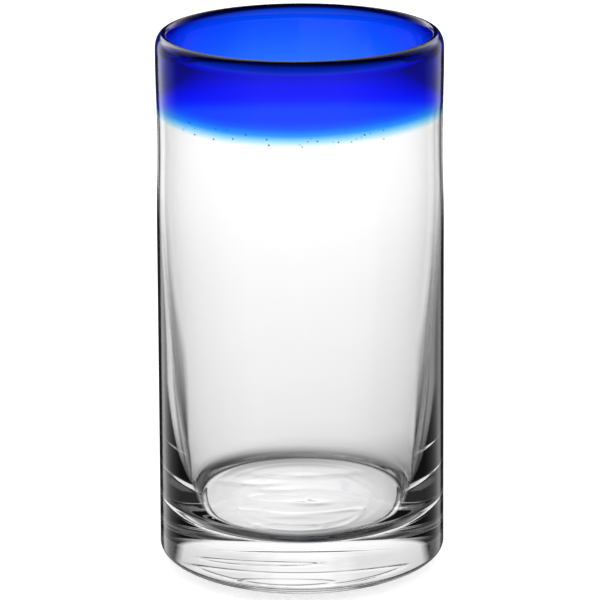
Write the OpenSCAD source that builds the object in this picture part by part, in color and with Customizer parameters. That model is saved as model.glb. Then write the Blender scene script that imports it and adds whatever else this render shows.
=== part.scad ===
// Cooler glass: a straight-sided tumbler with a heavy clear base and a cobalt blue rim.
// Millimetres, +Z up. The origin is on the table, at the centre of the foot.
// Both pieces are turned about Z from sections that share one outer wall and one inner wall.

/* [Glass] */
// Height from the table to the top of the rim
total_h = 150; // [115:1:190]
// Outside diameter where the wall leaves the rounded foot
base_d = 79.3; // [66:0.1:96]
// Outside diameter at the rim
rim_d = 78; // [66:0.1:96]
// Thickness of the wall under the rim
wall_top = 1; // [0.8:0.1:2.5]
// Thickness of the wall where the heavy base begins
wall_low = 2.1; // [0.8:0.1:4]
// Distance below the top of the rim from which the wall thickens
thin_drop = 40; // [26:1:60]
// Height over which the wall thickens
thicken_h = 55; // [15:1:60]
// How far the wall draws in at the shallow waist under the rim
waist_depth = 0.4; // [0:0.1:1.5]
// Distance of the waist below the top of the rim
waist_drop = 30; // [24:1:45]
// Height over which the waist fades out, above and below
waist_fade = 24; // [10:1:24]

/* [Heavy base] */
// Height of the inner floor above the table, at its edge
floor_h = 15; // [8:0.1:26]
// How much lower the dished floor lies in its middle
floor_dish = 0.7; // [0:0.1:3]
// How far the inner corner sweeps in from the wall
inner_corner_w = 8.4; // [4:0.1:16]
// How far the inner corner rises up the wall
inner_corner_h = 80; // [20:0.5:90]
// How far the floor's own small rounding reaches in from the corner
floor_round_w = 1.5; // [0.5:0.1:5]
// How far the floor's own small rounding rises
floor_round_h = 6; // [2:0.5:20]
// Width of the rounded outer corner of the foot
foot_round_w = 16; // [4:0.5:20]
// Height of the rounded outer corner of the foot
foot_round_h = 5.3; // [3:0.1:12]
// Width of the flat ring that stands on the table
foot_ring_w = 3; // [1.5:0.5:8]
// Depth of the shallow hollow under the base
punt_depth = 0.2; // [0.1:0.1:5]

/* [Blue rim] */
// Height of the blue glass, from its feathered edge to the top of the rim
band_h = 23; // [19:0.5:40]
// Height of the scarf where the blue glass thins out over the clear glass
scarf_h = 6.5; // [3:0.5:12]
// Thickness of the rolled bead at the rim
bead_t = 3.8; // [3.1:0.1:6]
// Width of the bead's outer rounding, from its side to its crest
bead_out_w = 2.4; // [1.2:0.1:2.8]
// Height of the bead's outer rounding
bead_out_h = 4.2; // [2:0.1:6]
// Height of the bead's inner rounding
bead_in_h = 4; // [2:0.1:6]
// Height over which the bead thins to the plain wall
bead_taper_h = 14; // [6:1:16]

/* [Hidden] */
$fn = 96;

clear_tint = [0.86, 0.92, 0.93, 0.45];
cobalt_tint = [0.06, 0.09, 0.86, 0.85];

// Straight steps in a rounded corner, and in a long gentle stretch of wall
corner_steps = 18;
wall_steps = 24;

// How the bead thins below its mouth: 1 is an even cone, more is sooner
bead_flare = 1.3;

waist_z = total_h - waist_drop;
corner_top_z = floor_h + inner_corner_h;
bead_side_z = total_h - bead_out_h;
bead_mouth_z = total_h - bead_in_h;
thin_z = total_h - thin_drop;
feather_z = total_h - band_h;
scarf_top_z = feather_z + scarf_h;
foot_out_r = outer_r(foot_round_h) - foot_round_w;
foot_in_r = foot_out_r - foot_ring_w;

function clamp01(t) = max(0, min(1, t));
function ease(t) = let (u = clamp01(t)) u * u * (3 - 2 * u);
function steps(a, b, n) = [for (i = [0 : n]) a + (b - a) * i / n];

// Outer wall: a straight taper from foot to rim, drawn in at the waist
function taper_r(z) =
    base_d / 2 + (rim_d - base_d) / 2 * clamp01((z - foot_round_h) / (bead_side_z - foot_round_h));
function waist_in(z) = waist_depth * (1 + cos(180 * clamp01(abs(z - waist_z) / waist_fade))) / 2;
function outer_r(z) = taper_r(z) - waist_in(z);

// Inner wall: a wall's thickness inside the outer one, swept in at the floor and at the bead
function wall_at(z) = wall_top + (wall_low - wall_top) * ease((thin_z - z) / thicken_h);
function quarter_in(z, w, h) = let (t = clamp01((floor_h + h - z) / h)) w * (1 - sqrt(1 - t * t));
function corner_in(z) =
    quarter_in(z, inner_corner_w, inner_corner_h) + quarter_in(z, floor_round_w, floor_round_h);
function bead_in(z) =
    (bead_t - wall_top) * pow(1 - clamp01((bead_mouth_z - z) / bead_taper_h), bead_flare);
function inner_r(z) = outer_r(z) - wall_at(z) - corner_in(z) - bead_in(z);

// Points along each wall, from one height to another
function outer_wall(z0, z1) = [for (z = steps(z0, z1, wall_steps)) [outer_r(z), z]];
function inner_wall(z0, z1) = [for (z = steps(z0, z1, wall_steps)) [inner_r(z), z]];

// Quarter of an ellipse about a centre, from one angle to another
function round_off(centre, w, h, a0, a1) =
    [for (a = steps(a0, a1, corner_steps)) centre + [w * cos(a), h * sin(a)]];

// Underside: a shallow dome from the axis to the foot ring, a circle's arc in section
punt_r = (foot_in_r * foot_in_r + punt_depth * punt_depth) / (2 * punt_depth);
punt_half_angle = asin(foot_in_r / punt_r);
function punt_dome() =
    [for (a = steps(0, punt_half_angle, corner_steps)) [punt_r * sin(a), punt_depth - punt_r * (1 - cos(a))]];

// Inner corner: the wall swept down to the floor, stepped evenly by angle
function inner_sweep() =
    [for (a = steps(0, 90, corner_steps)) let (z = corner_top_z - inner_corner_h * sin(a)) [inner_r(z), z]];

// Inner floor: a shallow dish from its edge to the axis
function floor_dip(r) = floor_h - floor_dish * (1 - pow(r / inner_r(floor_h), 2));
function dished_floor() = [for (r = steps(inner_r(floor_h), 0, corner_steps)) [r, floor_dip(r)]];

// Clear glass: wall and heavy base in one gather, cut to the scarf at its top
module clear_body() {
    section = concat(
        punt_dome(),
        round_off([foot_out_r, foot_round_h], foot_round_w, foot_round_h, -90, 0),
        outer_wall(foot_round_h, feather_z),
        inner_wall(scarf_top_z, corner_top_z),
        inner_sweep(),
        dished_floor()
    );
    color(clear_tint)
        rotate_extrude()
            polygon(section);
}

// Blue glass: the rolled bead, thinned down to the wall and feathered out over the clear glass
module blue_rim() {
    crest_r = outer_r(bead_side_z) - bead_out_w;
    mouth_r = inner_r(bead_mouth_z);
    section = concat(
        outer_wall(feather_z, bead_side_z),
        round_off([crest_r, bead_side_z], bead_out_w, bead_out_h, 0, 90),
        round_off([crest_r, bead_mouth_z], crest_r - mouth_r, bead_in_h, 90, 180),
        inner_wall(bead_mouth_z, scarf_top_z)
    );
    color(cobalt_tint)
        rotate_extrude()
            polygon(section);
}

clear_body();
blue_rim();
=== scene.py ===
"""Cooler glass: a clear straight-sided glass with a heavy base and a cobalt blue rim, lit from behind."""

import math

import bpy
from mathutils import Matrix, Vector, noise


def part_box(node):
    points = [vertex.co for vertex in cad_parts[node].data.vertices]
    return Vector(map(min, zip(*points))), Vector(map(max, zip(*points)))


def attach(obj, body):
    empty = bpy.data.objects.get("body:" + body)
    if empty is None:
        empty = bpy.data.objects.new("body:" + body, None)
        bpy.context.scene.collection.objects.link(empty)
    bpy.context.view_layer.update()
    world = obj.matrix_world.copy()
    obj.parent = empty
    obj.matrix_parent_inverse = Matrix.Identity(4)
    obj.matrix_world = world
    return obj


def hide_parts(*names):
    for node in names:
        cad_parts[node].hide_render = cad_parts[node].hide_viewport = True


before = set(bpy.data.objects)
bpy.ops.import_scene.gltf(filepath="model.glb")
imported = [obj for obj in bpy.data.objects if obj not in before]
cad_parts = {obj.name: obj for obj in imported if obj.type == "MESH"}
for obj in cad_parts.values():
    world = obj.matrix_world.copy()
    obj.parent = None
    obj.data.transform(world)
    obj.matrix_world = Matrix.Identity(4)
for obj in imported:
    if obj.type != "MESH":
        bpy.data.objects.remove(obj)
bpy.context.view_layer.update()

MM = 0.001

# Heights and radii that the frame gives, in metres
CLEAR_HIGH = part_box("clear_body")[1]
RIM_LOW, RIM_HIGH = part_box("blue_rim")
TOTAL_H = RIM_HIGH.z
BASE_R = CLEAR_HIGH.x
RIM_R = RIM_HIGH.x
FEATHER_Z = RIM_LOW.z
SCARF_TOP_Z = CLEAR_HIGH.z

# Sizes of the sections, the same as in the part's source
WALL_TOP = 1.0 * MM
WALL_LOW = 2.1 * MM
THIN_Z = TOTAL_H - 40 * MM
THICKEN_H = 55 * MM
WAIST_DEPTH = 0.4 * MM
WAIST_Z = TOTAL_H - 30 * MM
WAIST_FADE = 24 * MM
FLOOR_Z = 15 * MM
FLOOR_DISH = 0.7 * MM
CORNER_W = 8.4 * MM
CORNER_H = 80 * MM
FLOOR_ROUND_W = 1.5 * MM
FLOOR_ROUND_H = 6 * MM
FOOT_ROUND_W = 16 * MM
FOOT_ROUND_H = 5.3 * MM
FOOT_RING_W = 3 * MM
PUNT_DEPTH = 0.2 * MM
BEAD_T = 3.8 * MM
BEAD_OUT_W = 2.4 * MM
BEAD_OUT_H = 4.2 * MM
BEAD_IN_H = 4 * MM
BEAD_TAPER_H = 14 * MM
BEAD_FLARE = 1.3

CORNER_TOP_Z = FLOOR_Z + CORNER_H
BEAD_SIDE_Z = TOTAL_H - BEAD_OUT_H
BEAD_MOUTH_Z = TOTAL_H - BEAD_IN_H

# Only here: a hairline between the two glasses at the seam, too fine to see, and wear that lifts the outer
# edge of the foot ring off the table
SEAM_GAP = 0.008 * MM
FOOT_LIFT = 0.1 * MM

# Steps round the glass, and along each stretch of its section
STEPS_ROUND = 288
STEPS_CORNER = 48
STEPS_SWEEP = 86
STEPS_WALL = 34
STEPS_SEAM = 28
STEPS_FLAT = 46

# Points closer than this are one point, and a radius under it is on the axis
SAME_POINT = 1e-7

# Marks of the hand work, in millimetres. Rings on the floor: radius, depth, half width
FLOOR_RINGS = ((24.3, 0.05, 0.7), (20.0, 0.06, 0.9))
# Smears on the floor: x, y, half length, half width, depth
FLOOR_SMEARS = (
    (0, 16.5, 12, 2.2, 0.5), (-16, 9.5, 7, 2.0, 0.5), (-8, 5, 6, 1.6, 0.15), (2.5, -4.5, 5, 1.8, 0.3),
    (-4, -14, 7, 2, 0.15))
# Blobs under the foot: x, y, half length, half width, bend of the ends, height of the lip round them
FOOT_BLOBS = ((-7, 8.7, 8.7, 2.7, 0, 0.11), (-4, -12.5, 10, 3.2, 0, 0.12), (-0.6, -9.5, 19.2, 7, 8, 0.16))
# Half width of that lip, and the share by which it sags between the ends of a blob
FOOT_LIP_W = 1.1
FOOT_LIP_SAG = 0.5
# Waves on the floor and the inner wall, longer up the wall, which fade out below the blue
WAVE_DEPTH = 0.03
WAVE_LENGTH = 14.0
WAVE_STRETCH = 3
WAVE_END_Z = SCARF_TOP_Z - 10 * MM
WAVE_FADE = 20 * MM

# Seeds in the glass: the strip that holds them, in degrees from the front and in height over the feathered
# edge, its depth under the skin, how many lie on a square metre, their radius, the least and the most share
# of it, and the number of the random draw
SEED_TURNS = (-54, 40)
SEED_RISES = (0.5 * MM, 4.2 * MM)
SEED_SINK = 0.3 * MM
SEEDS_PER_M2 = 110000.0
SEED_RADIUS = 0.21 * MM
SEED_LEAST, SEED_MOST = 0.5, 1.1
SEED_DRAW = 7
STEPS_STRIP = 40

# Index of the skin, and of glass against glass at the seam, where light goes straight on
IOR_GLASS = 1.52
IOR_SEAM = 1.0


def clamp01(t):
    return max(0.0, min(1.0, t))


def ease(t):
    u = clamp01(t)
    return u * u * (3 - 2 * u)


def steps(a, b, count):
    return [a + (b - a) * i / count for i in range(count + 1)]


# Sections of the glass
def outer_r(z):
    """Outer wall: a slight taper, drawn in at the waist."""
    taper = BASE_R + (RIM_R - BASE_R) * clamp01((z - FOOT_ROUND_H) / (BEAD_SIDE_Z - FOOT_ROUND_H))
    waist = WAIST_DEPTH * (1 + math.cos(math.pi * clamp01(abs(z - WAIST_Z) / WAIST_FADE))) / 2
    return taper - waist


def inner_r(z):
    """Inner wall: a wall's thickness inside the outer one, swept in at the floor and at the bead."""
    wall = WALL_TOP + (WALL_LOW - WALL_TOP) * ease((THIN_Z - z) / THICKEN_H)
    corner = 0
    for w, h in ((CORNER_W, CORNER_H), (FLOOR_ROUND_W, FLOOR_ROUND_H)):
        t = clamp01((FLOOR_Z + h - z) / h)
        corner += w * (1 - math.sqrt(1 - t * t))
    bead = (BEAD_T - WALL_TOP) * (1 - clamp01((BEAD_MOUTH_Z - z) / BEAD_TAPER_H)) ** BEAD_FLARE
    return outer_r(z) - wall - corner - bead


def seam_r(z):
    """Seam: a smooth S-curve from the outer wall at the feathered edge to the inner wall above it."""
    share = ease((z - FEATHER_Z) / (SCARF_TOP_Z - FEATHER_Z))
    return outer_r(z) + (inner_r(z) - outer_r(z)) * share


def quarter(centre, w, h, a0, a1):
    """Quarter of an ellipse about a centre, from one angle in degrees to another."""
    return [(centre[0] + w * math.cos(a), centre[1] + h * math.sin(a))
            for a in steps(math.radians(a0), math.radians(a1), STEPS_CORNER)]


def joined(**stretches):
    """One run of (radius, height, stretch), without the points that two stretches share."""
    run = []
    for stretch, points in stretches.items():
        for r, z in points:
            if run and math.dist(run[-1][:2], (r, z)) < SAME_POINT:
                continue
            run.append((r, z, stretch))
    if math.dist(run[-1][:2], run[0][:2]) < SAME_POINT:
        run.pop()
    return run


def clear_section():
    """Clear glass, from the axis under the foot, up the outside, and down the inside to the floor."""
    foot_out = outer_r(FOOT_ROUND_H) - FOOT_ROUND_W
    foot_in = foot_out - FOOT_RING_W
    corner = []
    for a in steps(0, math.pi / 2, STEPS_SWEEP):
        z = CORNER_TOP_Z - CORNER_H * math.sin(a)
        corner.append((inner_r(z), z))
    edge = corner[-1][0]
    return joined(
        hollow=[(r, PUNT_DEPTH * (1 + math.cos(math.pi * r / foot_in)) / 2)
                for r in steps(0, foot_in, STEPS_FLAT)],
        foot=quarter((foot_out, FOOT_ROUND_H), FOOT_ROUND_W, FOOT_ROUND_H - FOOT_LIFT, -90, 0),
        outside=[(outer_r(z), z) for z in steps(FOOT_ROUND_H, FEATHER_Z, STEPS_WALL)],
        seam=[(seam_r(z) - SEAM_GAP, z) for z in steps(FEATHER_Z, SCARF_TOP_Z, STEPS_SEAM)],
        inside=[(inner_r(z), z) for z in steps(SCARF_TOP_Z, CORNER_TOP_Z, STEPS_WALL)],
        corner=corner,
        floor=[(r, FLOOR_Z - FLOOR_DISH * (1 - (r / edge) ** 2)) for r in steps(edge, 0, STEPS_FLAT)])


def rim_section():
    """Blue glass, up the outside from its feathered edge, over the bead, and down the inside to the seam."""
    crest = outer_r(BEAD_SIDE_Z) - BEAD_OUT_W
    mouth = inner_r(BEAD_MOUTH_Z)
    return joined(
        outside=[(outer_r(z), z) for z in steps(FEATHER_Z, BEAD_SIDE_Z, STEPS_WALL)],
        shoulder=quarter((crest, BEAD_SIDE_Z), BEAD_OUT_W, BEAD_OUT_H, 0, 90),
        lip=quarter((crest, BEAD_MOUTH_Z), crest - mouth, BEAD_IN_H, 90, 180),
        inside=[(inner_r(z), z) for z in steps(BEAD_MOUTH_Z, SCARF_TOP_Z, STEPS_WALL)],
        seam=[(seam_r(z), z) for z in steps(SCARF_TOP_Z, FEATHER_Z, STEPS_SEAM)])


# Marks of the hand work
def dent(offset, half_width):
    return math.exp(-(offset / half_width) ** 2)


def off_line(x, y, long, wide, bend):
    """About how far a point lies outside the line of an ellipse whose ends are bent up."""
    y -= bend * (x / long) ** 2
    out = math.hypot(x / long, y / wide)
    slope = math.hypot(x / long ** 2, y / wide ** 2) / max(out, 1e-6)
    return (out - 1) / max(slope, 1e-6)


def floor_depth(x, y):
    """Depth of the rings and smears on the floor, all in millimetres."""
    depth = sum(deep * dent(math.hypot(x, y) - at, wide) for at, deep, wide in FLOOR_RINGS)
    for at_x, at_y, long, wide, deep in FLOOR_SMEARS:
        depth += deep * dent(x - at_x, long) * dent(y - at_y, wide)
    return depth


def lip_height(x, y):
    """Height of the lips round the blobs under the foot, all in millimetres."""
    height = 0
    for at_x, at_y, long, wide, bend, lip in FOOT_BLOBS:
        sagged = 1 - FOOT_LIP_SAG + FOOT_LIP_SAG * ((x - at_x) / long) ** 2
        height += lip * sagged * dent(off_line(x - at_x, y - at_y, long, wide, bend), FOOT_LIP_W)
    return height


def hand_marks(x, y, z, stretch):
    """A point of the clear glass, moved by the marks of its floor, its foot and its inner wall."""
    fade = clamp01((WAVE_END_Z - z) / WAVE_FADE)
    wave = WAVE_DEPTH * fade * noise.noise(Vector((x, y, z / WAVE_STRETCH)) / (WAVE_LENGTH * MM))
    if stretch == "floor":
        return x, y, z - (wave + floor_depth(x / MM, y / MM)) * MM
    if stretch == "hollow":
        return x, y, z + lip_height(x / MM, y / MM) * MM
    if stretch in ("inside", "corner"):
        share = 1 - wave * MM / math.hypot(x, y)
        return x * share, y * share, z
    return x, y, z


def unmarked(x, y, z, stretch):
    return x, y, z


# Pieces turned from the sections
def linked(name, data):
    """An object of a mesh or a camera, put into the scene."""
    made = bpy.data.objects.new(name, data)
    bpy.context.scene.collection.objects.link(made)
    return made


def turned(name, section, closed, marks):
    """A section turned about Z. The faces of its seam carry the index of glass against glass."""
    verts, rings = [], []
    for r, z, stretch in section:
        if r < SAME_POINT:
            rings.append([len(verts)])
            verts.append(marks(0, 0, z, stretch))
            continue
        rings.append(list(range(len(verts), len(verts) + STEPS_ROUND)))
        for i in range(STEPS_ROUND):
            a = 2 * math.pi * i / STEPS_ROUND
            verts.append(marks(r * math.cos(a), r * math.sin(a), z, stretch))
    faces, on_seam, bands = [], [], []
    count = len(section)
    for k in range(count if closed else count - 1):
        a, b = rings[k], rings[(k + 1) % count]
        seam = "seam" in (section[k][2], section[(k + 1) % count][2])
        bands.append(seam)
        for i in range(STEPS_ROUND):
            j = (i + 1) % STEPS_ROUND
            if len(a) == 1:
                faces.append((a[0], b[j], b[i]))
            elif len(b) == 1:
                faces.append((a[i], a[j], b[0]))
            else:
                faces.append((a[i], a[j], b[j], b[i]))
            on_seam.append(seam)
    mesh = bpy.data.meshes.new(name)
    mesh.from_pydata(verts, [], faces)
    mesh.attributes.new("glass_index", "FLOAT", "FACE").data.foreach_set(
        "value", [IOR_SEAM if seam else IOR_GLASS for seam in on_seam])
    mesh.polygons.foreach_set("use_smooth", [True] * len(faces))
    # The skin is smooth, with a crease where the seam begins and ends
    creased = {v for k, seam in enumerate(bands) if seam != bands[k - 1] for v in rings[k]}
    mesh.update(calc_edges=True)
    for edge in mesh.edges:
        if edge.vertices[0] in creased and edge.vertices[1] in creased:
            edge.use_edge_sharp = True
    return linked(name, mesh)


clear_glass_piece = turned("clear_glass_body", clear_section(), False, hand_marks)
rim_glass_piece = turned("cobalt_glass_rim", rim_section(), True, unmarked)


# Materials
def linear(hex_code):
    """The linear colour of an sRGB hex value."""
    out = []
    for i in (0, 2, 4):
        c = int(hex_code[i:i + 2], 16) / 255
        out.append(c / 12.92 if c <= 0.04045 else ((c + 0.055) / 1.055) ** 2.4)
    return (*out, 1.0)


def ramp_stops(low, high, pairs):
    """Colour stops from 0 to 1 for (place, hex colour or grey level), on a scale from low to high."""
    return [((at - low) / (high - low), linear(tone) if isinstance(tone, str) else (tone, tone, tone, 1))
            for at, tone in pairs]


def node(tree, kind, inputs=None, stops=(), **settings):
    """Adds a node with its settings and colour stops. A node as an input stands for its first output."""
    made = tree.nodes.new(kind)
    for name, value in settings.items():
        setattr(made, name, value)
    for i, (position, colour) in enumerate(stops):
        elements = made.color_ramp.elements
        if i == 0:
            elements.remove(elements[-1])
        else:
            elements.new(position)
        elements[i].position = position
        elements[i].color = colour
    for key, value in (inputs or {}).items():
        if isinstance(value, bpy.types.Node):
            value = value.outputs[0]
        if isinstance(value, bpy.types.NodeSocket):
            tree.links.new(value, made.inputs[key])
        else:
            made.inputs[key].default_value = value
    return made


def new_material(name):
    material = bpy.data.materials.new(name)
    material.use_nodes = True
    material.node_tree.nodes.clear()
    return material, material.node_tree


# Soda-lime glass, blown and fire-polished: colourless, with a smooth skin
clear_glass, tree = new_material("clear_soda_lime_glass")
index = node(tree, "ShaderNodeAttribute", attribute_name="glass_index").outputs["Fac"]
skin = node(tree, "ShaderNodeBsdfPrincipled", {
    "Base Color": linear("FFFFFF"), "Roughness": 0.0, "IOR": index, "Transmission Weight": 1.0})
node(tree, "ShaderNodeOutputMaterial", {"Surface": skin})

# Cobalt glass: a strong blue that runs out through sky blue to clear at its feathered edge. The skin carries
# most of the colour, by height, and the body of the glass deepens it where it is thick. The skin also carries
# painted shade on the bead, and a far side painted paler as painted light.
# Its stops are in millimetres over the feathered edge
BLUE_H = (TOTAL_H - FEATHER_Z) / MM
NEAR_BLUE = ((0.3, "FFFFFF"), (1.8, "B1E3FF"), (3.4, "349DFF"), (5.1, "2264FF"), (6.7, "224AFF"))
# Painted light: the far side's blue, painted paler than the near side's
FAR_BLUE_PAINTED_PALER = ((0.3, "FFFFFF"), (1.8, "B1E3FF"), (3.4, "409FFF"), (5.1, "2A78FF"), (6.7, "2A6CFF"))
# Painted light: the far side is painted paler, from the first y to the second
FAR_FROM_Y, FAR_TO_Y = 12 * MM, 37 * MM
# The edge climbs towards both sides, more on the right: x, climb, in millimetres
EDGE_REACH = 40
EDGE_CLIMB = ((-37, 0.85), (-20, 0), (0, 0), (31, 0.95))
# Painted shade on the bead: greys that darken its blue towards the top, in millimetres over a height that
# lies the given drop below the top. That height leans down towards the viewer, and lies lower at both sides,
# so the painted shade reaches lower there
LIP_PAINTED_SHADE = ((0.5, "FFFFFF"), (4.2, "DCDCDC"), (5.2, "B3B3B3"), (6.2, "767676"), (7.2, "404040"))
LIP_SHADE_H = 8
LIP_SHADE_DROP = 4.79
LIP_SHADE_LEAN = -0.057
LIP_SHADE_SIDE_X = 20 * MM
LIP_SHADE_SIDE_DROP = 0.3 * MM
cobalt_glass, tree = new_material("cobalt_glass")
coords = node(tree, "ShaderNodeTexCoord")
xyz = node(tree, "ShaderNodeSeparateXYZ", {0: coords.outputs["Object"]}).outputs
across = node(tree, "ShaderNodeMapRange", {0: xyz["X"], 1: -EDGE_REACH * MM, 2: EDGE_REACH * MM})
climb = node(tree, "ShaderNodeValToRGB", {0: across}, stops=ramp_stops(-EDGE_REACH, EDGE_REACH, EDGE_CLIMB))
over_edge = node(tree, "ShaderNodeMath", {0: climb, 1: -MM, 2: xyz["Z"]}, operation="MULTIPLY_ADD")
up = node(tree, "ShaderNodeMapRange", {0: over_edge, 1: FEATHER_Z, 2: TOTAL_H})
near = node(tree, "ShaderNodeValToRGB", {0: up}, stops=ramp_stops(0, BLUE_H, NEAR_BLUE))
far = node(tree, "ShaderNodeValToRGB", {0: up}, stops=ramp_stops(0, BLUE_H, FAR_BLUE_PAINTED_PALER))
# Painted light: the share of the paler far-side blue, by y
far_painted_light = node(tree, "ShaderNodeMapRange", {0: xyz["Y"], 1: FAR_FROM_Y, 2: FAR_TO_Y})
blue = node(tree, "ShaderNodeMix", {0: far_painted_light, 6: near, 7: far}, data_type="RGBA")
# Painted shade: the height over which the bead is darkened leans towards the viewer and drops at both sides
shade_leaning = node(tree, "ShaderNodeMath", {0: xyz["Y"], 1: LIP_SHADE_LEAN, 2: xyz["Z"]}, operation="MULTIPLY_ADD")
off_middle = node(tree, "ShaderNodeMath", {0: xyz["X"]}, operation="ABSOLUTE")
shade_side_drop = node(tree, "ShaderNodeMapRange", {0: off_middle, 1: LIP_SHADE_SIDE_X, 2: RIM_R, 4: LIP_SHADE_SIDE_DROP})
shade_z = node(tree, "ShaderNodeMath", {0: shade_leaning, 1: shade_side_drop}, operation="ADD")
shade_up = node(tree, "ShaderNodeMapRange", {
    0: shade_z, 1: TOTAL_H - LIP_SHADE_DROP * MM, 2: TOTAL_H + (LIP_SHADE_H - LIP_SHADE_DROP) * MM})
# Painted shade of the bead, as greys
lip = node(tree, "ShaderNodeValToRGB", {0: shade_up}, stops=ramp_stops(0, LIP_SHADE_H, LIP_PAINTED_SHADE))
# The blue, times the painted shade of the bead
deep = node(tree, "ShaderNodeMix", {0: 1.0, 6: blue.outputs[2], 7: lip}, data_type="RGBA",
            blend_type="MULTIPLY")
index = node(tree, "ShaderNodeAttribute", attribute_name="glass_index").outputs["Fac"]
skin = node(tree, "ShaderNodeBsdfPrincipled", {
    "Base Color": deep.outputs[2], "Roughness": 0.0, "IOR": index, "Transmission Weight": 1.0})
body = node(tree, "ShaderNodeVolumeAbsorption", {"Color": linear("00E1F9"), "Density": 1000.0})
node(tree, "ShaderNodeOutputMaterial", {"Surface": skin, "Volume": body})

# Seeds: specks of unmelted batch, all but black
seed_batch, tree = new_material("dark_seed_in_glass")
skin = node(tree, "ShaderNodeBsdfPrincipled", {"Base Color": linear("0A1436"), "Roughness": 0.4})
node(tree, "ShaderNodeOutputMaterial", {"Surface": skin})


# Seeds scattered in the front of the glass, along the feathered edge of the blue
def front_strip(name, turns, rises):
    """A strip of faces just under the outer skin, turned in degrees from the front of the glass."""
    verts, faces = [], []
    for k, degrees in enumerate(steps(*turns, STEPS_STRIP)):
        a = math.radians(degrees - 90)
        for rise in rises:
            z = FEATHER_Z + rise
            r = outer_r(z) - SEED_SINK
            verts.append((r * math.cos(a), r * math.sin(a), z))
        if k:
            faces.append((2 * k - 2, 2 * k, 2 * k + 1, 2 * k - 1))
    mesh = bpy.data.meshes.new(name)
    mesh.from_pydata(verts, [], faces)
    return linked(name, mesh)


scatter = bpy.data.node_groups.new("scatter_seeds", "GeometryNodeTree")
sockets = {}
for name, kind in (("Strip", "NodeSocketGeometry"), ("Density", "NodeSocketFloat"), ("Draw", "NodeSocketInt"),
                   ("Radius", "NodeSocketFloat")):
    sockets[name] = scatter.interface.new_socket(name=name, in_out="INPUT", socket_type=kind).identifier
scatter.interface.new_socket(name="Seeds", in_out="OUTPUT", socket_type="NodeSocketGeometry")
given = node(scatter, "NodeGroupInput").outputs
points = node(scatter, "GeometryNodeDistributePointsOnFaces", {
    "Mesh": given["Strip"], "Density": given["Density"], "Seed": given["Draw"]})
ball = node(scatter, "GeometryNodeMeshIcoSphere", {"Radius": given["Radius"], "Subdivisions": 2})
sizes = node(scatter, "FunctionNodeRandomValue", {2: SEED_LEAST, 3: SEED_MOST, "Seed": given["Draw"]})
seeds = node(scatter, "GeometryNodeInstanceOnPoints", {
    "Points": points, "Instance": ball, "Scale": sizes.outputs[1]})
seeds = node(scatter, "GeometryNodeRealizeInstances", {0: seeds})
seeds = node(scatter, "GeometryNodeSetMaterial", {"Geometry": seeds, "Material": seed_batch})
node(scatter, "NodeGroupOutput", {0: seeds})

seeds_piece = front_strip("seeds_in_the_blue_edge", SEED_TURNS, SEED_RISES)
modifier = seeds_piece.modifiers.new("scatter", "NODES")
modifier.node_group = scatter
modifier[sockets["Density"]] = SEEDS_PER_M2
modifier[sockets["Draw"]] = SEED_DRAW
modifier[sockets["Radius"]] = SEED_RADIUS
scattered = seeds_piece.evaluated_get(bpy.context.evaluated_depsgraph_get())
seeds_mesh = bpy.data.meshes.new_from_object(scattered)
seeds_piece.modifiers.clear()
seeds_piece.data = seeds_mesh

clear_glass_piece.data.materials.append(clear_glass)
rim_glass_piece.data.materials.append(cobalt_glass)

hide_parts("clear_body")
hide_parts("blue_rim")
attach(clear_glass_piece, "root")
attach(rim_glass_piece, "root")
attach(seeds_piece, "root")

# Floor: a hair under the foot, and there for the camera and for light that a matt surface sends on. Light
# that has come through the glass or off it passes the floor, and meets the world's own levels below
PALE_HALF = 6.0
PALE_UNDER = 0.02 * MM
PALE_CORNERS = ((-1, -1), (1, -1), (1, 1), (-1, 1))
LIFT_TO_WHITE = 0.4
floor_mesh = bpy.data.meshes.new("pale_floor")
floor_mesh.from_pydata([(x * PALE_HALF, y * PALE_HALF, 0) for x, y in PALE_CORNERS], [], [(0, 1, 2, 3)])
floor = linked("pale_floor", floor_mesh)
floor.location.z = -PALE_UNDER

# Matt paint, near white: the camera sees it lifted to white, all but in the shadow at the foot
floor_paint, tree = new_material("pale_floor_paint")
path = node(tree, "ShaderNodeLightPath").outputs
paint = node(tree, "ShaderNodeBsdfDiffuse", {"Color": linear("F6F6F6")})
glow = node(tree, "ShaderNodeEmission", {"Strength": LIFT_TO_WHITE})
lifted = node(tree, "ShaderNodeAddShader", {0: paint, 1: glow})
paint = node(tree, "ShaderNodeMixShader", {0: path["Is Camera Ray"], 1: paint, 2: lifted})
clear = node(tree, "ShaderNodeBsdfTransparent")
met = node(tree, "ShaderNodeMath", {0: path["Is Camera Ray"], 1: path["Is Diffuse Ray"]}, operation="MAXIMUM")
surface = node(tree, "ShaderNodeMixShader", {0: met, 1: clear, 2: paint})
node(tree, "ShaderNodeOutputMaterial", {"Surface": surface})
floor_mesh.materials.append(floor_paint)

# World: white for the camera, plain room light for the floor, and for the light that the glass bends or
# mirrors a bright opening behind it between darker sides, as a glass is lit for a bright-field picture
world = bpy.data.worlds.new("bright_field")
bpy.context.scene.world = world
world.use_nodes = True
tree = world.node_tree
tree.nodes.clear()

# Heights run from straight down to straight up, and turns from behind the glass to before it, in degrees
HEIGHTS = (-90, 90)
TURNS = (0, 180)
ROOM_LIGHT = 1.0
# A count of bounces under this is none
NONE_YET = 0.5
# The bright opening is this many degrees wider below the first height, and no wider above the second
WIDER_BY = 9
WIDER_BELOW, PLAIN_ABOVE = -32, -19

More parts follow.
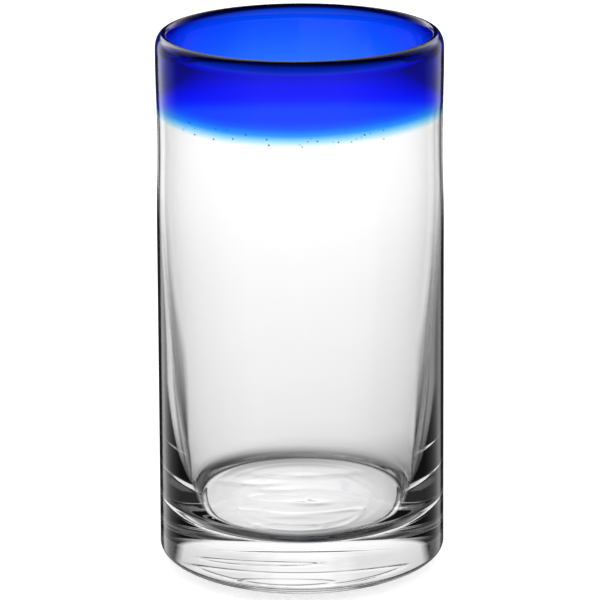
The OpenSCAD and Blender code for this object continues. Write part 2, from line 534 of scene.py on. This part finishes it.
# Levels of the light that the glass bends, by height: behind it, past one edge of the opening and the next,
# at the flanks, and before it
BEHIND = (
    (-90, 0.01), (-76, 0.03), (-66, 0.15), (-54, 0.2), (-46, 0.28), (-41, 0.55), (-36, 0.82), (-31, 0.9),
    (-25, 0.95), (-20, 1.05), (-15, 1.2), (-9, 1.36), (0, 1.36), (3, 1.0), (6, 0.4), (13, 0.32), (15.5, 0.5),
    (17, 0.65), (19, 0.95), (22, 1.03), (50, 1.1), (90, 1.3))
BESIDE = (
    (-90, 0.01), (-76, 0.03), (-66, 0.15), (-58, 0.2), (-50, 0.12), (-44, 0.08), (-37, 0.05), (-30, 0.06),
    (-26, 0.25), (-22, 0.6), (-18, 0.92), (-14, 1.15), (-9, 1.25), (0, 1.2), (4, 0.5), (6, 0.4), (13, 0.32),
    (16, 0.5), (19, 0.9), (28, 1.0), (50, 1.1), (90, 1.3))
ASIDE = (
    (-90, 0.01), (-76, 0.03), (-66, 0.12), (-58, 0.2), (-44, 0.2), (-34, 0.2), (-20, 0.15), (-8, 0.2),
    (4, 0.15), (12, 0.15), (15, 0.3), (18, 0.75), (28, 0.95), (50, 1.1), (90, 1.3))
FLANKS = (
    (-90, 0.01), (-60, 0.04), (-38, 0.06), (-14, 0.12), (4, 0.1), (10, 0.02), (27, 0.02), (31, 0.1),
    (35, 0.3), (42, 0.6), (50, 1.1), (60, 1.35), (90, 1.4))
BEFORE = (
    (-90, 0.01), (-66, 0.05), (-50, 0.35), (-24, 0.42), (-8, 0.4), (0, 0.15), (4, 0.05), (26, 0.06),
    (34, 0.2), (45, 0.8), (55, 1.0), (72, 1.1), (90, 1.3))
# The right side is the darker one: the turns over which it begins, what it loses low down by height, and what
# the right card and the right gleams lose
RIGHT_FROM, RIGHT_TO = -2, 7
RIGHT_LOSS = ((-48, 0.66), (-36, 0.4), (-29, 0.1), (-12, 0))
RIGHT_CARD_LOSS = 0.62
RIGHT_GLEAM_LOSS = 0.4
# Cards farther round: middle and half width of each in turns, lowest and highest height. Then their level,
# and over how many degrees they fade at the sides, below and above
FAR_CARDS = ((45, 9, -40, -14), (90, 10, -20, 6), (135, 10, -30, -6))
FAR_CARD_LEVEL = 1.1
FAR_CARD_SIDE, FAR_CARD_FOOT, FAR_CARD_HEAD = 4, 20, 5

coords = node(tree, "ShaderNodeTexCoord")
path = node(tree, "ShaderNodeLightPath").outputs
xyz = node(tree, "ShaderNodeSeparateXYZ", {0: coords.outputs["Generated"]}).outputs
azimuth = node(tree, "ShaderNodeMath", {0: xyz["X"], 1: xyz["Y"]}, operation="ARCTAN2")
away = node(tree, "ShaderNodeMath", {0: azimuth}, operation="ABSOLUTE")
height = node(tree, "ShaderNodeMath", {0: xyz["Z"]}, operation="ARCSINE")
# Both on a scale from 0 to 1
rise = node(tree, "ShaderNodeMapRange", {0: height, 1: -math.pi / 2, 2: math.pi / 2})
turn = node(tree, "ShaderNodeMapRange", {0: away, 1: 0.0, 2: math.pi})


def patch(turn_levels, rise_shares):
    """A patch of light: its levels by turn, times its shares by height."""
    level = node(tree, "ShaderNodeValToRGB", {0: turn}, stops=ramp_stops(*TURNS, turn_levels))
    share = node(tree, "ShaderNodeValToRGB", {0: rise}, stops=ramp_stops(*HEIGHTS, rise_shares))
    return node(tree, "ShaderNodeMath", {0: level, 1: share}, operation="MULTIPLY")


# Light bent through the glass. The opening widens towards the table
wider = node(tree, "ShaderNodeMapRange", {
    0: rise, 1: (WIDER_BELOW + 90) / 180, 2: (PLAIN_ABOVE + 90) / 180, 3: WIDER_BY / 180, 4: 0.0})
past_edge = node(tree, "ShaderNodeMath", {0: turn, 1: wider}, operation="SUBTRACT")
through = node(tree, "ShaderNodeValToRGB", {0: rise}, stops=ramp_stops(*HEIGHTS, BEHIND))
for measure, first, last, levels in (
        (past_edge, 7.4, 9.6, BESIDE), (past_edge, 12.5, 16.5, ASIDE), (turn, 49, 57, FLANKS),
        (turn, 110, 132, BEFORE)):
    share = node(tree, "ShaderNodeMapRange", {0: measure, 1: first / 180, 2: last / 180})
    next_light = node(tree, "ShaderNodeValToRGB", {0: rise}, stops=ramp_stops(*HEIGHTS, levels))
    through = node(tree, "ShaderNodeMix", {0: share, 2: through, 3: next_light})
to_right = node(tree, "ShaderNodeMapRange", {
    0: azimuth, 1: math.radians(RIGHT_FROM), 2: math.radians(RIGHT_TO)})
low = node(tree, "ShaderNodeValToRGB", {0: rise}, stops=ramp_stops(*HEIGHTS, RIGHT_LOSS))
loss = node(tree, "ShaderNodeMath", {0: to_right, 1: low}, operation="MULTIPLY")
kept = node(tree, "ShaderNodeMath", {0: 1.0, 1: loss}, operation="SUBTRACT")
through = node(tree, "ShaderNodeMath", {0: through, 1: kept}, operation="MULTIPLY")

# A tall pale card stands on each side of the opening, and a dim window behind each shoulder of the viewer
card = patch(
    ((20, 0), (26.5, 1), (36, 1), (44, 0), (104, 0), (112, 0.4), (124, 0.4), (132, 0)),
    ((-40, 0), (-30, 1), (-12, 1), (-4, 0)))
fainter = node(tree, "ShaderNodeMath", {0: to_right, 1: -RIGHT_CARD_LOSS, 2: 1.0}, operation="MULTIPLY_ADD")
card = node(tree, "ShaderNodeMath", {0: card, 1: fainter}, operation="MULTIPLY")
through = node(tree, "ShaderNodeMath", {0: through, 1: card}, operation="MAXIMUM")

# The cards farther round are for whoever looks straight through from the other sides
straight = node(tree, "ShaderNodeMath", {0: path["Glossy Depth"], 1: NONE_YET}, operation="LESS_THAN")
for at, half, lowest, highest in FAR_CARDS:
    card = patch(
        ((at - half - FAR_CARD_SIDE, 0), (at - half, FAR_CARD_LEVEL), (at + half, FAR_CARD_LEVEL),
         (at + half + FAR_CARD_SIDE, 0)),
        ((lowest - FAR_CARD_FOOT, 0), (lowest, 1), (highest, 1), (highest + FAR_CARD_HEAD, 0)))
    card = node(tree, "ShaderNodeMath", {0: card, 1: straight}, operation="MULTIPLY")
    through = node(tree, "ShaderNodeMath", {0: through, 1: card}, operation="MAXIMUM")

# Light mirrored by the skin: gleams at both sides of the opening, a light high behind the glass, small bright
# lights for the bead, and a dim room on the viewer's side
gleam = patch(
    ((24, 0), (28, 1.0), (33, 1.2), (38, 0.85), (43, 0.55), (48, 0.35), (54, 0.22), (62, 0.1), (72, 0)),
    ((-40, 0.5), (-20, 1), (4, 1), (13, 3), (30, 3), (45, 1), (60, 0)))
over = patch(((12, 1.4), (40, 1.3), (60, 0.5), (80, 0)), ((18, 0), (24, 1), (58, 1), (72, 0)))
bead_gleam = patch(((13, 0), (18, 2.4), (32, 2.4), (45, 0)), ((6, 0), (12, 1), (24, 1), (32, 0)))
dim = patch(
    ((0, 0.02), (54, 0.05), (62, 0.06), (85, 0.08), (120, 0.2), (150, 0.35), (180, 0.35)),
    ((-90, 0.5), (-15, 1), (5, 0.9), (15, 0.3), (30, 0.06)))
mirrored = node(tree, "ShaderNodeMath", {0: gleam, 1: over}, operation="MAXIMUM")
mirrored = node(tree, "ShaderNodeMath", {0: mirrored, 1: bead_gleam}, operation="MAXIMUM")
fainter = node(tree, "ShaderNodeMath", {0: to_right, 1: -RIGHT_GLEAM_LOSS, 2: 1.0}, operation="MULTIPLY_ADD")
mirrored = node(tree, "ShaderNodeMath", {0: mirrored, 1: fainter}, operation="MULTIPLY")
mirrored = node(tree, "ShaderNodeMath", {0: mirrored, 1: dim}, operation="MAXIMUM")

# What each ray sees: the camera white, the floor the room, and light at the glass the levels above
studio = node(tree, "ShaderNodeMix", {0: path["Is Transmission Ray"], 2: mirrored, 3: through})
at_glass = node(tree, "ShaderNodeMath", {0: path["Is Glossy Ray"], 1: path["Is Transmission Ray"]},
                operation="MAXIMUM")
no_floor = node(tree, "ShaderNodeMath", {0: path["Diffuse Depth"], 1: NONE_YET}, operation="LESS_THAN")
from_glass = node(tree, "ShaderNodeMath", {0: at_glass, 1: no_floor}, operation="MULTIPLY")
lit = node(tree, "ShaderNodeMix", {0: from_glass, 2: ROOM_LIGHT, 3: studio})
seen = node(tree, "ShaderNodeMix", {0: path["Is Camera Ray"], 2: lit, 3: 1.0})
light = node(tree, "ShaderNodeBackground", {0: (1, 1, 1, 1), 1: seen})
node(tree, "ShaderNodeOutputWorld", {"Surface": light})

# Light crosses many skins in the base, while light mirrored many times over only draws streaks
scene = bpy.context.scene
scene.view_settings.view_transform = "Standard"
scene.cycles.max_bounces = 40
scene.cycles.transmission_bounces = 40
scene.cycles.glossy_bounces = 5
scene.cycles.transparent_max_bounces = 16

# Camera, as fitted to the outline of the glass
ELEVATION = math.radians(16.57)
DISTANCE = 980.6 * MM
AIM = Vector((-0.22 * MM, 0, 74.49 * MM))
ROLL = math.radians(-0.31)
FOCAL_PX = 3562.0
PICTURE_PX = 600
SENSOR_W = 36.0
camera_data = bpy.data.cameras.new("camera")
camera = linked("camera", camera_data)
scene.camera = camera
camera_data.sensor_width = SENSOR_W
camera_data.lens = FOCAL_PX / PICTURE_PX * SENSOR_W
camera_data.clip_start = 0.05
camera_data.clip_end = 50
offset = Vector((0, -math.cos(ELEVATION), math.sin(ELEVATION))) * DISTANCE
look = (-offset).to_track_quat("-Z", "Y").to_matrix().to_4x4()
camera.matrix_world = Matrix.Translation(AIM + offset) @ look @ Matrix.Rotation(ROLL, 4, "Z")
